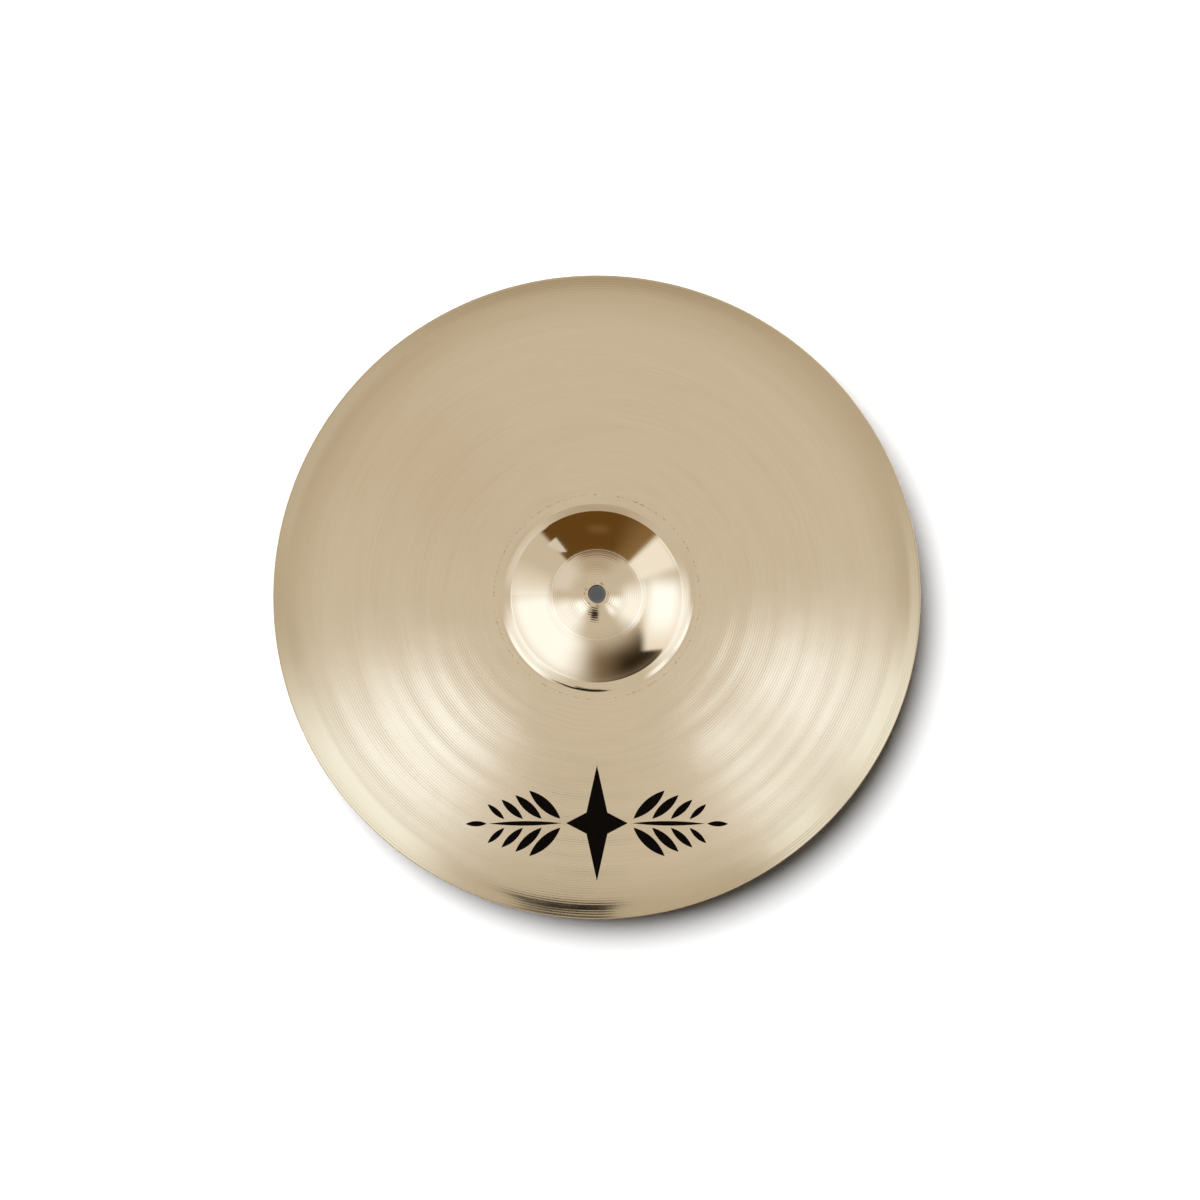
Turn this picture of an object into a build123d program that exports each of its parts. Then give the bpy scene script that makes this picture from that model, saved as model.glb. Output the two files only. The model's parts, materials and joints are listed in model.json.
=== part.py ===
from build123d import *

# An 18 inch crash cymbal in its own frame, in millimetres. It is one disc of bronze: a domed bell
# with a centre hole, a crease, a narrow ledge and a soft foot where the bell meets the bow, and a
# gently curved bow that thins towards a rounded rim.
# It lies hollow side up on the crown of its bell. The origin is on the hole's axis, level with the
# crown's outer face, +Z points out of the hollow side, and the printed ornament is towards -Y.
import math
import os

# Driving sizes of the disc. Slopes are in degrees from level, on the hollow side.
disc_diameter = 457.2
hole_diameter = 12.7
hole_chamfer = 0.2
crown_radius = 32.5  # from the axis to where the flatter crown meets the bell's side
bell_radius = 60.7  # from the axis to the crease
ledge_radius = 65.6  # from the axis to where the ledge meets the foot
foot_radius = 69.4  # from the axis to where the foot meets the bow
bow_radius = 134.0  # from the axis to where the inner bow meets the outer bow
crown_curve_radius = 115.0
crease_curve_radius = 2.5
bell_slope = 35.5  # the steepest of the bell's side, at the crease
ledge_slope_inner = 12.0  # just outside the crease
ledge_slope_outer = 10.5  # where the foot starts
bow_slope_inner = 4.2  # beside the foot
bow_slope_middle = 6.8  # where the inner bow meets the outer bow
bow_slope_outer = 8.0  # where the edge band starts
edge_band_width = 15.5  # the outermost band turns up a little more than the bow
edge_curve_radius = 200.0
bell_thickness = 1.2
middle_thickness = 1.08  # where the inner bow meets the outer bow
bow_thickness = 0.85  # where the edge band starts
rim_thickness = 0.7

# Driving sizes of the printed ornament: a tall star between two level sprigs of leaves.
ink_thickness = 0.08
ornament_radius = 161.0  # from the hole's axis to the middle of the star
ornament_width = 187.0
star_height = 82.0
star_width = 44.0
star_waist = 7.5  # from the star's middle to the corners between its points, across and up
sprig_gap = 25.0  # from the star's middle to the root of each stem
stem_width = 3.2
leaf_pairs = 4
leaf_angle = 42.0  # between a leaf and its stem
leaf_slimness = 0.25  # a leaf's width over its length
root_leaf_length = 30.0
tip_leaf_length = 16.0
end_leaf_length = 15.0
leaf_gap = 1.5  # bare bronze between a leaf's root and the stem
first_leaf_place = 1.0  # along the stem, from its root
last_leaf_place = 11.0  # along the stem, back from its tip

# Worked out from them
disc_radius = disc_diameter / 2
hole_radius = hole_diameter / 2
hole_slope = math.degrees(math.asin(hole_radius / crown_curve_radius))
crown_slope = math.degrees(math.asin(crown_radius / crown_curve_radius))
hole_way = (math.cos(math.radians(hole_slope)), math.sin(math.radians(hole_slope)))
bow_outer_radius = disc_radius - edge_band_width
rim_round = rim_thickness / 2
stem_length = ornament_width / 2 - sprig_gap - end_leaf_length - leaf_gap


def sine(slope):
    return math.sin(math.radians(slope))


# The radius of each arc that goes from one slope to another over a run, and the slope at the rim
side_curve_radius = (bell_radius - crown_radius) / (sine(bell_slope) - sine(crown_slope))
crease_end_radius = bell_radius + crease_curve_radius * (sine(bell_slope) - sine(ledge_slope_inner))
ledge_sine_drop = sine(ledge_slope_inner) - sine(ledge_slope_outer)
ledge_curve_radius = (ledge_radius - crease_end_radius) / ledge_sine_drop
foot_curve_radius = (foot_radius - ledge_radius) / (sine(ledge_slope_outer) - sine(bow_slope_inner))
inner_bow_curve_radius = (bow_radius - foot_radius) / (sine(bow_slope_middle) - sine(bow_slope_inner))
outer_bow_sine_rise = sine(bow_slope_outer) - sine(bow_slope_middle)
outer_bow_curve_radius = (bow_outer_radius - bow_radius) / outer_bow_sine_rise
rim_sine_run = edge_band_width - rim_round + edge_curve_radius * sine(bow_slope_outer)
rim_slope = math.degrees(math.asin(rim_sine_run / (edge_curve_radius + rim_round)))

# How far each arc of the section turns. Towards the rim, up is positive.
crown_turn = crown_slope - hole_slope
side_turn = bell_slope - crown_slope
crease_turn = ledge_slope_inner - bell_slope
ledge_turn = ledge_slope_outer - ledge_slope_inner
foot_turn = bow_slope_inner - ledge_slope_outer
inner_bow_turn = bow_slope_middle - bow_slope_inner
outer_bow_turn = bow_slope_outer - bow_slope_middle
edge_turn = rim_slope - bow_slope_outer

os.makedirs("parts", exist_ok=True)


def write_piece(piece, name):
    piece.label = name
    export_step(piece, f"parts/{name}.step")
    size = piece.bounding_box().size
    print(f"{name}: {len(piece.solids())} solids, {size.X:.2f} x {size.Y:.2f} x {size.Z:.2f} mm")


# The hollow side's section, from the hole to the rim: X is the distance from the axis, Y the height.
with BuildLine() as hollow_side:
    crown = JernArc((hole_radius, bell_thickness), hole_way, crown_curve_radius, crown_turn)
    side = JernArc(crown @ 1, crown % 1, side_curve_radius, side_turn)
    crease = JernArc(side @ 1, side % 1, crease_curve_radius, crease_turn)
    ledge = JernArc(crease @ 1, crease % 1, ledge_curve_radius, ledge_turn)
    foot = JernArc(ledge @ 1, ledge % 1, foot_curve_radius, foot_turn)
    inner_bow = JernArc(foot @ 1, foot % 1, inner_bow_curve_radius, inner_bow_turn)
    outer_bow = JernArc(inner_bow @ 1, inner_bow % 1, outer_bow_curve_radius, outer_bow_turn)
    edge_band = JernArc(outer_bow @ 1, outer_bow % 1, edge_curve_radius, edge_turn)

# The disc: the outer side follows the hollow side at an even thickness to the end of the foot,
# then closes on it along the bow and the edge band, and a half round joins the two at the rim.
with BuildPart() as bronze_disc:
    with BuildSketch(Plane.XZ) as disc_section:
        with BuildLine() as outer_side:
            add(hollow_side.line)
            line = JernArc((hole_radius, 0), hole_way, crown_curve_radius + bell_thickness, crown_turn)
            outer_hole_edge = line @ 0
            line = JernArc(line @ 1, line % 1, side_curve_radius + bell_thickness, side_turn)
            line = JernArc(line @ 1, line % 1, crease_curve_radius - bell_thickness, crease_turn)
            line = JernArc(line @ 1, line % 1, ledge_curve_radius - bell_thickness, ledge_turn)
            line = JernArc(line @ 1, line % 1, foot_curve_radius - bell_thickness, foot_turn)
            bow_middle = inner_bow @ 1 + (inner_bow % 1).rotate(Axis.Z, -90) * middle_thickness
            line = TangentArc(line @ 1, bow_middle, tangent=line % 1)
            bow_end = outer_bow @ 1 + (outer_bow % 1).rotate(Axis.Z, -90) * bow_thickness
            line = TangentArc(line @ 1, bow_end, tangent=line % 1)
            outer_rim = edge_band @ 1 + (edge_band % 1).rotate(Axis.Z, -90) * rim_thickness
            line = TangentArc(line @ 1, outer_rim, tangent=line % 1)
            rim_crest = (edge_band @ 1 + outer_rim) / 2 + (edge_band % 1) * rim_round
            ThreePointArc(edge_band @ 1, rim_crest, outer_rim)
            Line(outer_hole_edge, crown @ 0)
        make_face()
    revolve(axis=Axis.Z)
    hole_wall = bronze_disc.faces().filter_by(GeomType.CYLINDER)[0]
    chamfer(hole_wall.edges().filter_by(GeomType.CIRCLE), hole_chamfer)

# An even film of ink over the whole bow. Each printed shape is cut from it.
with BuildPart() as ink_film:
    with BuildSketch(Plane.XZ) as film_section:
        with BuildLine():
            add(inner_bow)
            add(outer_bow)
            film_root = inner_bow @ 0 + (0, ink_thickness)
            film_middle = JernArc(film_root, inner_bow % 0, inner_bow_curve_radius, inner_bow_turn)
            film_top = JernArc(film_middle @ 1, film_middle % 1, outer_bow_curve_radius, outer_bow_turn)
            Line(inner_bow @ 0, film_middle @ 0)
            Line(outer_bow @ 1, film_top @ 1)
        make_face()
    revolve(axis=Axis.Z)

# The star has two long points up and down, and two short ones level.
with BuildSketch(mode=Mode.PRIVATE) as star_outline:
    with BuildLine():
        Polyline((0, star_height / 2), (star_waist, star_waist), (star_width / 2, 0))
        mirror(about=Plane.YZ)
        mirror(about=Plane.XZ)
    make_face()

# One leaf of unit length lies along +X from the origin: two arcs that meet in points.
with BuildSketch(mode=Mode.PRIVATE) as unit_leaf:
    with BuildLine():
        SagittaArc((0, 0), (1, 0), leaf_slimness / 2)
        SagittaArc((0, 0), (1, 0), -leaf_slimness / 2)
    make_face()

# The sprig runs to +X: a stem that tapers to both ends, leaves in pairs, and one leaf past its tip.
with BuildSketch(mode=Mode.PRIVATE) as sprig_outline:
    with BuildLine():
        stem_root = (sprig_gap, 0)
        stem_tip = (sprig_gap + stem_length, 0)
        SagittaArc(stem_root, stem_tip, stem_width / 2)
        SagittaArc(stem_root, stem_tip, -stem_width / 2)
    make_face()
    with Locations((sprig_gap + stem_length + leaf_gap, 0)):
        add(scale(unit_leaf.sketch, end_leaf_length, mode=Mode.PRIVATE))
    for pair in range(leaf_pairs):
        share = pair / (leaf_pairs - 1)
        leaf_length = root_leaf_length + (tip_leaf_length - root_leaf_length) * share
        leaf_place = first_leaf_place + (stem_length - first_leaf_place - last_leaf_place) * share
        leaf_root = stem_width / 2 + leaf_gap
        for way in (1, -1):
            with Locations(Location((sprig_gap + leaf_place, way * leaf_root), way * leaf_angle)):
                add(scale(unit_leaf.sketch, leaf_length, mode=Mode.PRIVATE))

outlines = {
    "printed_star": star_outline.sketch,
    "printed_sprig_right": sprig_outline.sketch,
    "printed_sprig_left": sprig_outline.sketch.mirror(Plane.YZ),
}

write_piece(bronze_disc.part, "bronze_disc")
for name, outline in outlines.items():
    with BuildPart() as printed:
        with BuildSketch():
            with Locations((0, -ornament_radius)):
                add(outline)
        extrude(amount=disc_radius)
        add(ink_film.part, mode=Mode.INTERSECT)
    write_piece(printed.part, name)

volume = bronze_disc.part.volume / 1000
print(f"bronze {volume:.1f} cm3, about {volume * 8.7:.0f} g at 8.7 g/cm3")
bow_curves = f"{inner_bow_curve_radius:.0f} and {outer_bow_curve_radius:.0f}"
print(f"arcs: side {side_curve_radius:.1f}, foot {foot_curve_radius:.1f}, bow {bow_curves} mm")
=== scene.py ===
import json
from math import asin, cos, hypot, pi, radians, sin

import bmesh
import bpy
from mathutils import Euler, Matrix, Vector, noise


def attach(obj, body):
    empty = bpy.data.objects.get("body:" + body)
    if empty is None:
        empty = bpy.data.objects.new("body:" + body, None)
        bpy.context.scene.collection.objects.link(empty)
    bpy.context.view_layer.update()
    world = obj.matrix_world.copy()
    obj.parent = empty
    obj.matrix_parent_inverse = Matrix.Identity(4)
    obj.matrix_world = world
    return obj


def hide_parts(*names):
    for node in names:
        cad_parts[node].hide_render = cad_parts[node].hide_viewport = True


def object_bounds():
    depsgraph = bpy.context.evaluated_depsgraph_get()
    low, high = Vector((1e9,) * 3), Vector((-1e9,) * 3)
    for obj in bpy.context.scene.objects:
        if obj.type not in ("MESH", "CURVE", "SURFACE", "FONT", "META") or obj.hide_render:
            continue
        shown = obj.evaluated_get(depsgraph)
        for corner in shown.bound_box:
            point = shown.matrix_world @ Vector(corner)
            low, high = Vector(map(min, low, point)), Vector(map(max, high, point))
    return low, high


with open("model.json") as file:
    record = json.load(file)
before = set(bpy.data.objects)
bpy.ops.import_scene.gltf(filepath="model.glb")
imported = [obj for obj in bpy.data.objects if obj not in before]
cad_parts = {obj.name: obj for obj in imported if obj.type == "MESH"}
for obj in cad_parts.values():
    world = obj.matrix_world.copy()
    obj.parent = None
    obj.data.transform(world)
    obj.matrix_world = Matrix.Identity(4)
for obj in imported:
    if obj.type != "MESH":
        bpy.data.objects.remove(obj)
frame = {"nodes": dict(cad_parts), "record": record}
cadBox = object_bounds()
mounts = {mount["name"]: mount for mount in frame["record"]["mounts"]}
millimetre = 0.001


class Wire:
    # one value in a node tree, so that maths on it reads as an expression
    def __init__(self, finish, socket):
        self.finish = finish
        self.socket = socket

    def maths(self, operation, *values):
        return self.finish.node("ShaderNodeMath", {"operation": operation}, dict(enumerate(values)))

    def __add__(self, other):
        return self.maths("ADD", self, other)

    def __radd__(self, other):
        return self.maths("ADD", other, self)

    def __sub__(self, other):
        return self.maths("SUBTRACT", self, other)

    def __rsub__(self, other):
        return self.maths("SUBTRACT", other, self)

    def __mul__(self, other):
        return self.maths("MULTIPLY", self, other)

    def __rmul__(self, other):
        return self.maths("MULTIPLY", other, self)

    def __truediv__(self, other):
        return self.maths("DIVIDE", self, other)

    def __rtruediv__(self, other):
        return self.maths("DIVIDE", other, self)

    def sine(self):
        return self.maths("SINE", self)

    def root(self):
        return self.maths("SQRT", self)

    def size(self):
        return self.maths("ABSOLUTE", self)

    def ramp(self, low, high):
        # 0 up to low, 1 from high on, and smooth between them
        settings = {"interpolation_type": "SMOOTHSTEP"}
        inputs = {"Value": self, "From Min": low, "From Max": high}
        return self.finish.node("ShaderNodeMapRange", settings, inputs)

    def around(self, middle, half):
        # 1 at the middle, falling smoothly to 0 at half on either side
        return 1.0 - (self - middle).size().ramp(0.0, half)


class Finish:
    # the node tree of a material, or of the world round the disc
    def __init__(self, owner):
        owner.use_nodes = True
        self.owner = owner
        self.tree = owner.node_tree
        self.tree.nodes.clear()

    def node(self, kind, settings=None, inputs=None, output=0):
        made = self.tree.nodes.new(kind)
        for name, value in (settings or {}).items():
            setattr(made, name, value)
        for name, value in (inputs or {}).items():
            if isinstance(value, Wire):
                self.tree.links.new(value.socket, made.inputs[name])
            else:
                made.inputs[name].default_value = value
        return Wire(self, made.outputs[output]) if made.outputs else None

    def place(self):
        return self.node("ShaderNodeTexCoord", output="Object")

    def parts(self, vector):
        split = self.node("ShaderNodeSeparateXYZ", inputs={0: vector}).socket.node
        return [Wire(self, output) for output in split.outputs]

    def vector(self, x, y, z):
        return self.node("ShaderNodeCombineXYZ", inputs={0: x, 1: y, 2: z})

    def clouds(self, vector, scale=1.0, detail=2.0, roughness=0.5):
        inputs = {"Vector": vector, "Scale": scale, "Detail": detail, "Roughness": roughness}
        return self.node("ShaderNodeTexNoise", inputs=inputs)

    def mix(self, share, low, high):
        inputs = {0: share, 6: low, 7: high}
        return self.node("ShaderNodeMix", {"data_type": "RGBA"}, inputs, output=2)

    def show(self, shader, output="ShaderNodeOutputMaterial"):
        self.node(output, inputs={"Surface": shader})
        return self.owner


def newFinish(name):
    return Finish(bpy.data.materials.new(name))


def solid(bm, name):
    mesh = bpy.data.meshes.new(name)
    bm.to_mesh(mesh)
    bm.free()
    mesh.shade_smooth()
    made = bpy.data.objects.new(name, mesh)
    bpy.context.scene.collection.objects.link(made)
    return made


def smooth(value, low, high):
    share = min(max((value - low) / (high - low), 0), 1)
    return share * share * (3 - 2 * share)


disc = {
    "radius": cadBox[1].x,
    "holeRadius": mounts["center_hole"]["dims"]["r_mm"] * millimetre,
    "holeChamfer": 0.0002,
    "bellThickness": 0.0012,
    "middleThickness": 0.00108,  # where the inner bow meets the outer bow
    "bowThickness": 0.00085,  # where the edge band starts
    "rimThickness": 0.0007,
    "crownCurve": 0.115,  # curves are radii in the section
    "creaseCurve": 0.0025,
    "edgeCurve": 0.200,
    "crownRadius": 0.0325,  # these are distances from the axis
    "bellRadius": 0.0607,
    "ledgeRadius": 0.0656,
    "footRadius": 0.0694,
    "bowRadius": 0.134,
    "edgeWidth": 0.0155,
    "bellSlope": radians(35.5),  # slopes are those of the hollow side
    "ledgeStart": radians(12.0),
    "ledgeEnd": radians(10.5),
    "bowStart": radians(4.2),
    "bowMiddle": radians(6.8),
    "bowEnd": radians(8.0),
    "hollowSteps": (80, 24, 5, 4, 8, 52, 60, 16),  # crown, side, crease, ledge, foot, bow, bow, edge band
    "rimSteps": 8,
    "outerSteps": (12, 10, 3, 2, 3),  # crown, side, crease, ledge, foot
    "outerBowSteps": 5,
    "segments": 320,
    "mergeWithin": 0.00002,
}


def arc(bm, start, slope, curve, endSlope, steps):
    # one arc of the section: the vertex goes round the arc's centre until its way on has endSlope
    side = 1 if endSlope > slope else -1
    centre = start.co + side * curve * Vector((-sin(slope), 0, cos(slope)))
    turn = {"cent": centre, "axis": (0, -1, 0), "angle": endSlope - slope, "steps": steps}
    made = bmesh.ops.spin(bm, geom=[start], use_duplicate=False, **turn)["geom_last"]
    return next(item for item in made if isinstance(item, bmesh.types.BMVert))


def chain(bm, start, slope, arcs, steps):
    # arcs that follow each other, by radius and slope at the end, and the vertex where each one ends
    ends = []
    for (curve, endSlope), count in zip(arcs, steps):
        start = arc(bm, start, slope, curve, endSlope, count)
        slope = endSlope
        ends.append(start)
    return ends


def curveBetween(near, far, slope, endSlope):
    # the radius of the arc that takes the slope from one value to the other over this run
    return (far - near) / abs(sin(endSlope) - sin(slope))


def throughMetal(vert, slope, thickness):
    # the point on the outer side that lies opposite a vertex of the hollow side
    return vert.co + thickness * Vector((sin(slope), 0, -cos(slope)))


def bronzeSection(bm, d):
    # the hollow side and the outer side are each a chain of arcs from the hole outwards
    firstRadius = d["holeRadius"] + d["holeChamfer"]
    slope = asin(firstRadius / d["crownCurve"])
    rise = d["crownCurve"] * (cos(asin(d["holeRadius"] / d["crownCurve"])) - cos(slope))
    inner = bm.verts.new((firstRadius, 0, d["bellThickness"] + rise))
    outer = bm.verts.new((firstRadius, 0, rise))

    crown = asin(d["crownRadius"] / d["crownCurve"])
    side = curveBetween(d["crownRadius"], d["bellRadius"], crown, d["bellSlope"])
    creaseEnd = d["bellRadius"] + d["creaseCurve"] * (sin(d["bellSlope"]) - sin(d["ledgeStart"]))
    ledge = curveBetween(creaseEnd, d["ledgeRadius"], d["ledgeStart"], d["ledgeEnd"])
    foot = curveBetween(d["ledgeRadius"], d["footRadius"], d["ledgeEnd"], d["bowStart"])
    innerBow = curveBetween(d["footRadius"], d["bowRadius"], d["bowStart"], d["bowMiddle"])
    outerBow = curveBetween(d["bowRadius"], d["radius"] - d["edgeWidth"], d["bowMiddle"], d["bowEnd"])
    rimRound = d["rimThickness"] / 2
    rimRun = d["edgeWidth"] - rimRound + d["edgeCurve"] * sin(d["bowEnd"])
    rimSlope = asin(rimRun / (d["edgeCurve"] + rimRound))
    *_, bowMiddle, bowEnd, edgeEnd = chain(bm, inner, slope, (
        (d["crownCurve"], crown),
        (side, d["bellSlope"]),
        (d["creaseCurve"], d["ledgeStart"]),
        (ledge, d["ledgeEnd"]),
        (foot, d["bowStart"]),
        (innerBow, d["bowMiddle"]),
        (outerBow, d["bowEnd"]),
        (d["edgeCurve"], rimSlope),
    ), d["hollowSteps"])
    rimEnd = arc(bm, edgeEnd, rimSlope, rimRound, rimSlope - pi, d["rimSteps"])

    wall = d["bellThickness"]
    *_, end = chain(bm, outer, slope, (
        (d["crownCurve"] + wall, crown),
        (side + wall, d["bellSlope"]),
        (d["creaseCurve"] - wall, d["ledgeStart"]),
        (ledge - wall, d["ledgeEnd"]),
        (foot - wall, d["bowStart"]),
    ), d["outerSteps"])
    slope = d["bowStart"]
    middle = throughMetal(bowMiddle, d["bowMiddle"], d["middleThickness"])
    edge = throughMetal(bowEnd, d["bowEnd"], d["bowThickness"])
    for far in (middle, edge, rimEnd.co.copy()):
        chord = far - end.co
        endSlope = 2 * asin(chord.z / chord.length) - slope
        curve = chord.length / 2 / sin((endSlope - slope) / 2)
        end = arc(bm, end, slope, curve, endSlope, d["outerBowSteps"])
        slope = endSlope

    top = bm.verts.new((d["holeRadius"], 0, wall - d["holeChamfer"]))
    bottom = bm.verts.new((d["holeRadius"], 0, d["holeChamfer"]))
    for pair in ((inner, top), (top, bottom), (bottom, outer)):
        bm.edges.new(pair)
    bmesh.ops.remove_doubles(bm, verts=bm.verts, dist=d["mergeWithin"])


hammering = {
    "bandHeight": 0.0001,  # rings left by the lathe and the hammer, across the bow
    "bandWidth": 0.010,
    "bandWander": 1.2,  # how much a ring changes on its way round
    "dentHeight": 0.00002,
    "dentWidth": 0.016,
    "dentLayer": 0.3,
    "crownRidge": 0.0000065,
    "holeRidge": 0.000007,  # more of the same, near the hole
    "holeRidgeEnd": 0.019,
    "crownPitch": 0.00155,
    "crownStart": 0.0078,
    "crownEnd": 0.0325,
    "bowStart": 0.075,
    "bowFull": 0.105,
    "rimClear": 0.003,
    "liftOff": 0.00001,  # keeps the rim's crest below the top of the CAD box
}


def dent(x, y, h):
    # how far the worked metal lies below the true section there, never above it: hammered and ridged
    r = hypot(x, y)
    rimFade = 1 - smooth(r, disc["radius"] - 3 * h["rimClear"], disc["radius"] - h["rimClear"])
    fade = smooth(r, h["bowStart"], h["bowFull"]) * rimFade
    way = Vector((x, y)) / r
    bands = noise.noise(Vector((r / h["bandWidth"], way.x * h["bandWander"], way.y * h["bandWander"])))
    dents = noise.noise(Vector((x, y, h["dentLayer"])) / h["dentWidth"])
    hammered = (1 - bands) / 2 * h["bandHeight"] + (1 - dents) / 2 * h["dentHeight"]
    ridged = smooth(r, h["crownStart"], h["crownStart"] + h["crownPitch"]) * (r < h["crownEnd"])
    ridges = 1 + sin(2 * pi * r / h["crownPitch"])
    ridgeHeight = h["crownRidge"] + h["holeRidge"] * (1 - smooth(r, h["crownStart"], h["holeRidgeEnd"]))
    return fade * hammered, ridged * ridges * ridgeHeight


def bronzeDisc():
    bm = bmesh.new()
    bronzeSection(bm, disc)
    section = bm.verts[:] + bm.edges[:]
    turn = {"cent": (0, 0, 0), "axis": (0, 0, 1), "angle": 2 * pi, "steps": disc["segments"]}
    bmesh.ops.spin(bm, geom=section, use_merge=True, use_duplicate=False, **turn)
    bmesh.ops.recalc_face_normals(bm, faces=bm.faces)
    highest = cadBox[1].z - hammering["liftOff"]
    for vert in bm.verts:
        hammered, ridged = dent(vert.co.x, vert.co.y, hammering)
        hollowSide = vert.normal.z > 0.5
        depth = hammered + ridged if hollowSide else hammered
        vert.co.z = min(vert.co.z - depth, highest)
    return solid(bm, "bronze")


bronze = {
    "color": (0.80, 0.64, 0.43, 1),
    "worn": (0.70, 0.53, 0.33, 1),
    "bright": (0.95, 0.82, 0.62, 1),
    # colour of the painted shade that darkens the bow towards the rim
    "edged": (0.62, 0.48, 0.29, 1),
    # the colour of real tarnish specks, also used as painted shade on the hole's chamfer
    "tarnishAndShade": (0.36, 0.21, 0.09, 1),
    "bellRoughness": 0.075,
    "bowRoughness": 0.115,
    "ledgeRoughness": 0.045,
    "rimPolish": 0.9,  # the share of the bow's extra roughness that the rim band loses
    "hazeRoughness": 0.05,
    "bandRoughness": 0.02,
    "speckRoughness": 0.3,
    "groovePitch": 0.0017,
    "grooveDepth": 0.0000022,
    "grooveWander": 3.0,
    "turnedDepth": 0.000003,
    "turnedScale": 900.0,  # fine lines left by turning, per metre along a radius
    "turnedWander": 2.0,  # how much a line changes on its way round
    "bandScale": 70.0,
    "bandWander": 1.5,
    "stainScale": 420.0,
    "hazeScale": 38.0,
    "bandWear": 0.9,  # how worn each of these looks
    "lineWear": 0.22,
    "edgeWear": 0.1,
    "crownWear": 0.4,
    "bellShare": 0.3,  # how much of the lines the bell shows
    "outerShade": 0.95,
    "crownShine": 0.6,
    "startTarnish": 0.8,
    # how dark the painted shade on the hole's chamfer is
    "holeEdgeShade": 0.7,
    "crown": (0.0317, 0.0322),  # where, from the axis, each band begins and is full
    "bow": (0.0605, 0.0615),
    "foot": (0.0693, 0.0712),
    "outerBow": (0.185, 0.236),
    "rimBand": (0.211, 0.214),
    "edge": (0.2215, 0.2223),
    "holeEdge": (0.0063, 0.0071),
    "turnedLines": (0.45, 0.75),  # the values of the noise that each of these begins and is full at
    "startSpecks": (0.50, 0.60),
    "holeSpecks": (0.54, 0.62),
    "crownLines": (-0.1, 0.9),
    "startMark": (0.0732, 0.0007),  # ring and half width: where the lathe's tool was set down
    "holeMark": (0.0085, 0.0016),
    "crownMark": (0.0323, 0.0006),
}


def bronzeFinish():
    b = bronze
    f = newFinish("lathed bronze")
    place = f.place()
    x, y = f.parts(place)[:2]
    r = (x * x + y * y).root()
    wayX = x / r
    wayY = y / r
    alongTurned = f.vector(r * b["turnedScale"], wayX * b["turnedWander"], wayY * b["turnedWander"])
    alongBands = f.vector(r * b["bandScale"], wayX * b["bandWander"], wayY * b["bandWander"])
    turned = f.clouds(alongTurned, detail=3.0)
    bands = f.clouds(alongBands)
    stains = f.clouds(place, b["stainScale"], detail=4.0, roughness=0.65)
    haze = f.clouds(place, b["hazeScale"], detail=3.0, roughness=0.6)
    crown = 1.0 - r.ramp(*b["crown"])
    bow = r.ramp(*b["bow"])
    ledge = bow * (1.0 - r.ramp(*b["foot"]))
    rimBand = r.ramp(*b["rimBand"])

    grooves = (r * (2 * pi / b["groovePitch"]) + (turned - 0.5) * b["grooveWander"]).sine()
    turnedHeight = (turned - 0.5) * b["turnedDepth"] * (b["bellShare"] + bow)
    height = grooves * b["grooveDepth"] * bow + turnedHeight
    bump = f.node("ShaderNodeBump", inputs={"Strength": 1.0, "Distance": 1.0, "Height": height})

    startRing = r.around(*b["startMark"]) * stains.ramp(*b["startSpecks"])
    holeRing = r.around(*b["holeMark"]) * stains.ramp(*b["holeSpecks"])
    # the two speck rings are real stains; holeEdge is painted shade that darkens the hole's chamfer
    holeEdge = 1.0 - r.ramp(*b["holeEdge"])
    specksAndHoleShade = startRing * b["startTarnish"] + holeRing + holeEdge * b["holeEdgeShade"]
    bandLines = (bands - 0.5).size() * b["bandWear"]
    lines = bandLines + turned.ramp(*b["turnedLines"]) * b["lineWear"] + r.ramp(*b["edge"]) * b["edgeWear"]
    crownRings = (r * (2 * pi / hammering["crownPitch"])).sine().ramp(*b["crownLines"]) * crown
    wear = lines * (b["bellShare"] + bow * (1 - b["bellShare"])) + crownRings * b["crownWear"]
    ringed = f.mix(wear, b["color"], b["worn"])
    marked = f.mix(r.around(*b["crownMark"]) * b["crownShine"], ringed, b["bright"])
    # painted shade: the bow's colour darkens towards the rim
    edged = f.mix(r.ramp(*b["outerBow"]) * b["outerShade"], marked, b["edged"])

    bowExtra = b["bowRoughness"] - b["bellRoughness"]
    satin = b["bellRoughness"] + (bow - ledge - rimBand * b["rimPolish"]) * bowExtra
    polished = satin + ledge * (b["ledgeRoughness"] - b["bellRoughness"])
    uneven = (haze - 0.5) * b["hazeRoughness"] + (bands - 0.5) * b["bandRoughness"]
    shader = f.node("ShaderNodeBsdfPrincipled", inputs={
        "Base Color": f.mix(specksAndHoleShade, edged, b["tarnishAndShade"]),
        "Metallic": 1.0,
        "Roughness": polished + uneven + specksAndHoleShade * b["speckRoughness"],
        "Normal": bump,
    })
    return f.show(shader)


bronzePiece = bronzeDisc()
bronzePiece.data.materials.append(bronzeFinish())
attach(bronzePiece, "root")
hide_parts("bronze_disc")
print("bronze disc:", len(bronzePiece.data.polygons), "faces")

ink = {
    "color": (0.0012, 0.0007, 0.0004, 1),
    "worn": (0.004, 0.0025, 0.0015, 1),
    "roughness": 0.5,
    "unevenness": 0.2,
    "shine": 0.02,
    "grainScale": 900.0,
    "wornGrain": (0.3, 0.8),  # the values of the grain that wear begins and is full at
}


def inkFinish():
    f = newFinish("printed ink")
    grain = f.clouds(f.place(), ink["grainScale"], detail=3.0)
    shader = f.node("ShaderNodeBsdfPrincipled", inputs={
        "Base Color": f.mix(grain.ramp(*ink["wornGrain"]), ink["color"], ink["worn"]),
        "Specular IOR Level": ink["shine"],
        "Roughness": ink["roughness"] + (grain - 0.5) * ink["unevenness"],
    })
    return f.show(shader)


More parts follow.
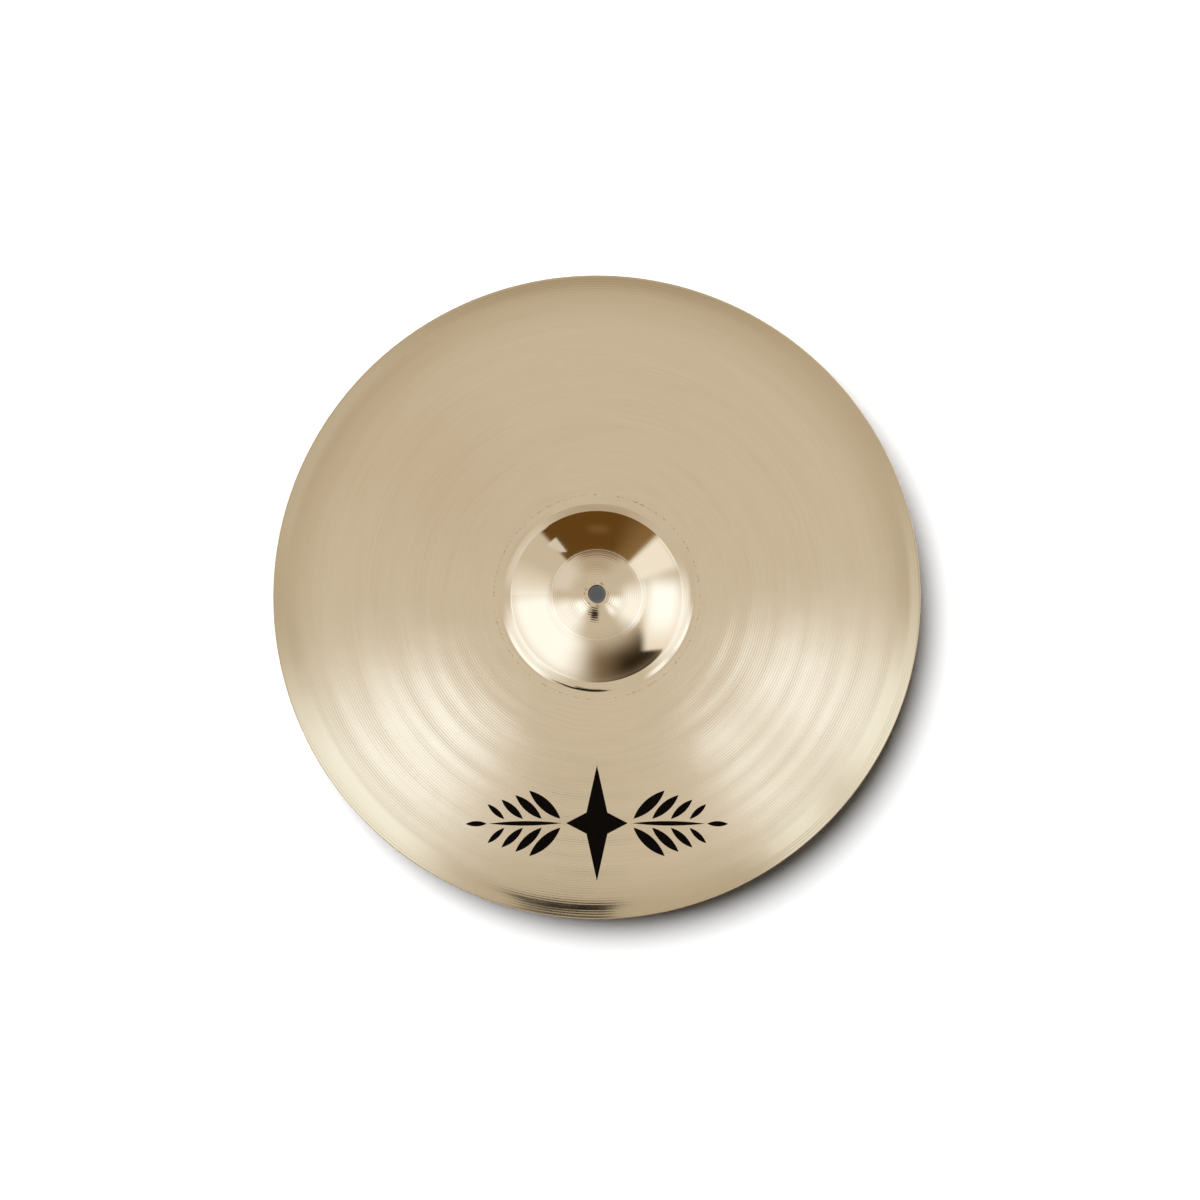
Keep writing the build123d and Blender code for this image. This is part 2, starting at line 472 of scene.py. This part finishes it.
printed = inkFinish()
for name in ("printed_star", "printed_sprig_left", "printed_sprig_right"):
    node = frame["nodes"][name]
    node.data.materials.clear()
    node.data.materials.append(printed)
print("ink: done")

shot = {
    "tilt": radians(6.47),
    "distance": 2.732,
    "width": 0.847,  # seen at the rim's height
    "sideways": 0.0022,
    "forward": 0.0002,
    "sensor": 36.0,
}


def makeCamera():
    camera = bpy.data.objects.new("camera", bpy.data.cameras.new("camera"))
    bpy.context.scene.collection.objects.link(camera)
    camera.data.sensor_width = shot["sensor"]
    camera.data.lens = shot["sensor"] * shot["distance"] / shot["width"]
    target = Vector((shot["sideways"], shot["forward"], cadBox[1].z))
    back = Vector((0, sin(shot["tilt"]), cos(shot["tilt"])))
    camera.location = target + back * shot["distance"]
    camera.rotation_euler = (-shot["tilt"], 0, 0)
    bpy.context.scene.camera = camera


makeCamera()


def toward(sideways, upward):
    # a direction from the disc: degrees from the camera's line, to its right and towards its top
    away = hypot(sideways, upward)
    turn = Euler((-shot["tilt"], 0, 0)).to_matrix()
    if away == 0:
        return turn @ Vector((0, 0, 1))
    reach = sin(radians(away)) / away
    return turn @ Vector((sideways * reach, upward * reach, cos(radians(away))))


discMirrors = (0, -13)  # what a level disc would show: every ring of the bow mirrors a ring around it


def cardFinish(name, color):
    f = newFinish(name)
    fade = f.node("ShaderNodeAttribute", {"attribute_name": "fade"}, output="Fac")
    glow = f.node("ShaderNodeEmission", inputs={"Color": (*color, 1), "Strength": 1.0})
    clear = f.node("ShaderNodeBsdfTransparent")
    return f.show(f.node("ShaderNodeMixShader", inputs={0: fade, 1: clear, 2: glow}))


lampColor = (1.36, 1.60, 2.02)
glowColor = (1.28, 1.48, 1.85)
boomColor = (0.008, 0.005, 0.002)

# A card has corners in degrees, anticlockwise, as toward() takes them, or a reach from discMirrors and
# the angles there. Soft is the faded share at its left, right, bottom and top.
cards = {
    "near left lamp": {"reach": (8.8, 19), "angles": (8, 67), "distance": 12, "color": lampColor,
                       "soft": (0.12, 0.1, 0.42, 0.3)},
    "near right lamp": {"reach": (8.8, 19), "angles": (135, 181), "distance": 12, "color": lampColor,
                        "soft": (0.12, 0.1, 0.35, 0.5), "strength": 0.95},
    "right strip": {"reach": (8.8, 19), "angles": (118, 144), "distance": 12.1, "color": lampColor,
                    "soft": (0.12, 0.1, 0.45, 0.4), "strength": 0.85},
    "left glow": {"reach": (14, 36), "angles": (0, 78), "distance": 13, "color": glowColor,
                  "soft": (0.4, 0.0, 0.3, 0.4), "strength": 0.95},
    "right glow": {"reach": (14, 36), "angles": (118, 210), "distance": 13, "color": glowColor,
                   "soft": (0.4, 0.0, 0.35, 0.45), "strength": 0.95},
    "high glow": {"reach": (14, 32), "angles": (-70, 0), "distance": 13.5, "color": (1.15, 1.3, 1.6),
                  "soft": (0.5, 0.0, 0.5, 0.2), "strength": 0.35},
    "wide left lamp": {"corners": ((-82, -33), (-25, -33), (-31, 31), (-68, 31)), "distance": 2.3,
                       "color": (1.34, 1.6, 2.06), "soft": (0.42, 0.36, 0.3, 0.5)},
    "lamp cloth": {"corners": ((-82, -20), (-26, -20), (-32, 31), (-68, 31)), "distance": 2.33,
                   "color": (1.05, 1.1, 1.2), "soft": (0.2, 0.22, 0.3, 0.04)},
    "left sky": {"reach": (28, 80), "angles": (-12, 90), "distance": 2.4, "color": (1.36, 1.58, 2.0),
                 "soft": (0.2, 0.42, 0.22, 0.34), "strength": 0.95},
    "cream wall": {"reach": (30, 70), "angles": (194, 225), "distance": 2.5, "color": (1.12, 1.24, 1.42),
                   "soft": (0.05, 0.1, 0.3, 0.1), "strength": 0.9},
    "pale wall": {"reach": (32, 70), "angles": (-30, 0), "distance": 2.5, "color": (1.1, 1.22, 1.4),
                  "soft": (0.1, 0.1, 0.8, 0.0), "strength": 0.6},
    "dark core": {"reach": (33, 80), "angles": (86, 146), "distance": 2.45, "color": (0.02, 0.013, 0.006),
                  "soft": (0.55, 0.45, 0.5, 0.2), "strength": 0.95},
    "dark ceiling": {"reach": (22, 84), "angles": (66, 150), "distance": 2.5, "color": (0.18, 0.12, 0.065),
                     "soft": (0.5, 0.35, 0.35, 0.2), "strength": 0.85},
    "far boom": {"corners": ((-0.9, -0.4), (4.4, -0.4), (4.4, 5.0), (-0.9, 5.0)), "distance": 11.5,
                 "color": boomColor, "soft": (0.0, 0.15, 0.0, 0.0)},
    "near boom": {"corners": ((-1.2, -3.9), (5.0, -3.9), (5.0, -0.6), (-1.2, -0.6)), "distance": 1.1,
                  "color": boomColor, "soft": (0.0, 0.0, 0.0, 0.0)},
    "dim corner": {"reach": (6, 15), "angles": (-68, -6), "distance": 13, "color": (0.5, 0.4, 0.28),
                   "soft": (0.3, 0.3, 0.4, 0.4), "strength": 0.16},
    "brown table": {"reach": (31.4, 80), "angles": (225, 313), "distance": 2.4,
                    "color": (0.146, 0.078, 0.020), "soft": (0.0, 0.0, 0.03, 0.03)},
    "table end": {"reach": (31.4, 80), "angles": (225, 255), "distance": 2.38, "color": (0.32, 0.22, 0.11),
                  "soft": (0.0, 0.3, 0.05, 0.9), "strength": 0.75},
    "table streak": {"reach": (44, 58), "angles": (255, 282), "distance": 2.37,
                     "color": (0.28, 0.18, 0.08), "soft": (0.5, 0.5, 0.4, 0.4), "strength": 0.5},
    "table edge": {"reach": (26.5, 31), "angles": (228, 302), "distance": 2.4, "color": (0.15, 0.085, 0.03),
                   "soft": (0.4, 0.2, 0.25, 0.25), "strength": 0.7},
    "table shade": {"reach": (13, 32), "angles": (222, 318), "distance": 13, "color": (0.3, 0.2, 0.11),
                    "soft": (0.35, 0.0, 0.4, 0.4), "strength": 0.36},
    "pale corner": {"corners": ((32, -58), (39, -52), (27, -44), (21.5, -44)), "distance": 2.2,
                    "color": (0.8, 0.86, 0.95), "soft": (0.0, 0.0, 0.0, 0.0)},
}
cardSegments = 28


def fadeIn(depth, share):
    return smooth(depth, 0, share) if share else 1


def cardAim(c, u, v):
    # the direction of one point of a card, in toward()'s degrees
    if "corners" in c:
        corners = [Vector(corner) for corner in c["corners"]]
        return corners[0].lerp(corners[1], u).lerp(corners[3].lerp(corners[2], u), v)
    near, far = c["reach"]
    first, last = c["angles"]
    angle = radians(first + (last - first) * v)
    return Vector(discMirrors) + (near + (far - near) * u) * Vector((cos(angle), sin(angle)))


def makeCard(name, c):
    bm = bmesh.new()
    bmesh.ops.create_grid(bm, x_segments=cardSegments, y_segments=cardSegments, size=0.5)
    fade = bm.verts.layers.float.new("fade")
    for vert in bm.verts:
        u = vert.co.x + 0.5
        v = vert.co.y + 0.5
        vert[fade] = c.get("strength", 1)
        for depth, share in zip((u, 1 - u, v, 1 - v), c["soft"]):
            vert[fade] *= fadeIn(depth, share)
        vert.co = toward(*cardAim(c, u, v)) * c["distance"]
    card = solid(bm, name)
    card.data.materials.append(cardFinish(name, c["color"]))
    card.visible_camera = False
    card.visible_diffuse = False
    card.visible_shadow = False


for name, c in cards.items():
    makeCard(name, c)
print("cards:", len(cards))

key = {"sideways": radians(18.6), "forward": radians(26), "angle": radians(36), "strength": 4.7}


def makeKey():
    sun = bpy.data.lights.new("key", "SUN")
    sun.energy = key["strength"]
    sun.angle = key["angle"]
    light = bpy.data.objects.new("key", sun)
    light.rotation_euler = (-key["forward"], -key["sideways"], 0)
    light.visible_glossy = False
    bpy.context.scene.collection.objects.link(light)


makeKey()

floor = {
    "half": 6.0,
    "color": (0.86, 0.86, 0.86, 1),
    "shade": (0.075, 0.075, 0.077, 1),  # right below the hole
    "shadeRadius": 0.02,
    "shadeCore": 0.004,
}


def floorFinish():
    f = newFinish("pale floor")
    x, y = f.parts(f.place())[:2]
    r = (x * x + y * y).root()
    color = f.mix(r.ramp(floor["shadeCore"], floor["shadeRadius"]), floor["shade"], floor["color"])
    return f.show(f.node("ShaderNodeBsdfDiffuse", inputs={"Color": color}))


def makeFloor():
    bm = bmesh.new()
    bmesh.ops.create_grid(bm, x_segments=1, y_segments=1, size=floor["half"])
    piece = solid(bm, "floor")
    piece.location.z = cadBox[0].z
    piece.data.materials.append(floorFinish())


makeFloor()

surround = {"seen": 1.0, "mirrored": 0.90, "lit": 0.05}


def makeWorld():
    # the world's strength depends on the ray: seen by the camera, mirrored in the bronze, or lighting
    world = bpy.data.worlds.new("studio")
    bpy.context.scene.world = world
    f = Finish(world)
    glossy = f.node("ShaderNodeLightPath", output="Is Glossy Ray")
    direct = f.node("ShaderNodeLightPath", output="Is Camera Ray")
    unseen = f.node("ShaderNodeMix", inputs={0: glossy, 2: surround["lit"], 3: surround["mirrored"]})
    strength = f.node("ShaderNodeMix", inputs={0: direct, 2: unseen, 3: surround["seen"]})
    f.show(f.node("ShaderNodeBackground", inputs={"Strength": strength}), "ShaderNodeOutputWorld")


makeWorld()
bpy.context.scene.view_settings.view_transform = "Standard"
print("studio: done")
